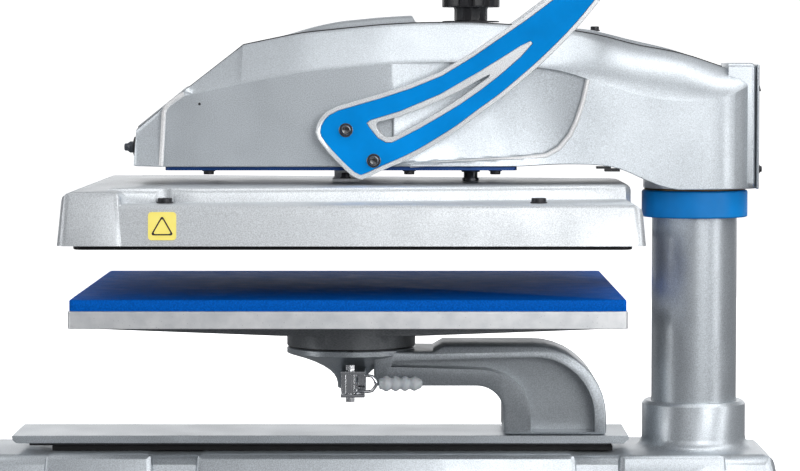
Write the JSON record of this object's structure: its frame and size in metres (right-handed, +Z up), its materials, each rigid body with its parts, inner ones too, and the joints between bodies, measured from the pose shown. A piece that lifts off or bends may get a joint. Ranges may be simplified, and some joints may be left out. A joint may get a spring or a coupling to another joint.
{
  "type": "swing-away heat press",
  "caption": "Swing-away heat press: toggle handle drives a heated platen from a head that swings on a column; padded lower platen slides out on a drawer.",
  "frame": {"origin": "centre of the footprint on the bench, under the middle of the base", "axes": "+Z up; +X along the base from the operator's end to the column; +Y to the operator's left"},
  "size_m": [0.808, 0.464, 0.6511],
  "materials": {
    "silver_paint": "silver paint with fine flake on cast aluminium",
    "steel": "machined",
    "chrome": "bright plated",
    "aluminium": "fine machined",
    "blue_anodised": "satin blue",
    "blue_inlay": "satin sheet",
    "blue_silicone": "fine-pored silicone foam, glossy top skin",
    "black_plastic": "fine texture",
    "grey_plastic": "light grey, fine texture",
    "black_steel": "black oxide",
    "black_coating": "black non-stick coat on cast aluminium",
    "grey_vinyl": "dipped vinyl",
    "insulation": "mineral wool blanket",
    "rubber": "matte",
    "bronze": "sintered bronze",
    "glass": "dark display glass",
    "circuit_green": "solder mask",
    "yellow_label": "printed film",
    "heater_red": "sheathed element"
  },
  "bodies": {
    "root": {"base_casting": "silver_paint", "front_cross_foot": "silver_paint", "rear_cross_foot": "silver_paint", "front_foot_pad": "rubber", "rear_foot_pad": "rubber", "column_tube": "silver_paint", "column_cap": "black_plastic", "swing_ring": "blue_anodised", "thrust_washer": "bronze", "slide_rails": "steel"},
    "drawer": {"drawer_plate": "silver_paint", "glide_strips": "black_plastic", "pedestal_arm": "silver_paint", "hub_key_disc": "black_steel", "latch_bracket": "chrome", "latch_pivot_bolt": "chrome"},
    "latch": {"latch_lever": "chrome", "latch_grip": "grey_vinyl"},
    "lower_platen": {"lower_platen": "aluminium", "silicone_pad": "blue_silicone"},
    "head": {"head_shell": "silver_paint", "swing_hub": "aluminium", "lower_column_bush": "bronze", "upper_column_bush": "bronze", "head_bottom_plate": "blue_anodised", "cable_clip": "black_plastic", "guide_bushing": "bronze", "left_shaft_bush": "bronze", "right_shaft_bush": "bronze", "pressure_block": "steel", "screen_bezel": "grey_plastic", "touch_screen": "glass", "control_board": "circuit_green", "front_button_bezel": "black_plastic", "rear_cover": "silver_paint", "rocker_frame": "black_plastic", "breaker_collar": "black_plastic", "power_inlet": "black_plastic"},
    "platen": {"heat_platen": "black_coating", "heating_element": "heater_red", "insulation_blanket": "insulation", "platen_cover": "silver_paint", "warning_label": "yellow_label", "press_yoke": "steel", "guide_rod": "chrome"},
    "link": {"toggle_link": "steel"},
    "handle": {"handle_plate_left": "silver_paint", "handle_plate_right": "silver_paint", "handle_inlay_left": "blue_inlay", "handle_inlay_right": "blue_inlay", "grip_bar": "chrome", "grip_sleeve": "rubber", "crank_shaft": "steel"},
    "knob": {"pressure_knob": "black_plastic", "pressure_spindle": "steel"},
    "rocker": {"power_rocker": "black_plastic"},
    "breaker": {"breaker_button": "black_plastic"},
    "button": {"front_button": "black_plastic"}
  },
  "joints": [
    {"name": "head_swing", "type": "hinge", "parent": "root", "child": "head", "pos_m": [0.3216, 0, 0.3368], "axis": [0, 0, 1], "range_deg": [0, 90]},
    {"name": "platen_press", "type": "slide", "parent": "head", "child": "platen", "axis": [0, 0, -1], "range_m": [0, 0.045]},
    {"name": "handle_swing", "type": "hinge", "parent": "head", "child": "handle", "pos_m": [-0.0026, 0, 0.3804], "axis": [0, -1, 0], "range_deg": [0, 110]},
    {"name": "link_swing", "type": "hinge", "parent": "platen", "child": "link", "pos_m": [-0.0186, 0, 0.3545], "axis": [0, 1, 0], "range_deg": [0, 47]},
    {"name": "drawer_slide", "type": "slide", "parent": "root", "child": "drawer", "axis": [-1, 0, 0], "range_m": [0, 0.3]},
    {"name": "platen_lift", "type": "slide", "parent": "drawer", "child": "lower_platen", "axis": [0, 0, 1], "range_m": [0, 0.032]},
    {"name": "latch_swing", "type": "hinge", "parent": "drawer", "child": "latch", "pos_m": [-0.0125, -0.056, 0.151], "axis": [0, 0, -1], "range_deg": [0, 110]},
    {"name": "knob_turn", "type": "hinge", "parent": "head", "child": "knob", "pos_m": [0.1038, 0, 0.4985], "axis": [0, 0, 1], "continuous": true},
    {"name": "rocker_tip", "type": "hinge", "parent": "head", "child": "rocker", "pos_m": [0.3807, 0, 0.4395], "axis": [0, 1, 0], "range_deg": [0, 16]},
    {"name": "breaker_push", "type": "slide", "parent": "head", "child": "breaker", "axis": [-1, 0, 0], "range_m": [0, 0.0015], "stiffness_N_per_m": 500},
    {"name": "button_push", "type": "slide", "parent": "head", "child": "button", "axis": [1, 0, 0], "range_m": [0, 0.0025], "stiffness_N_per_m": 500}
  ],
  "couplings": [
    {"joint": "handle_swing", "follows": "platen_press", "rad_per_m": 42.66},
    {"joint": "link_swing", "follows": "platen_press", "rad_per_m": 18}
  ]
}
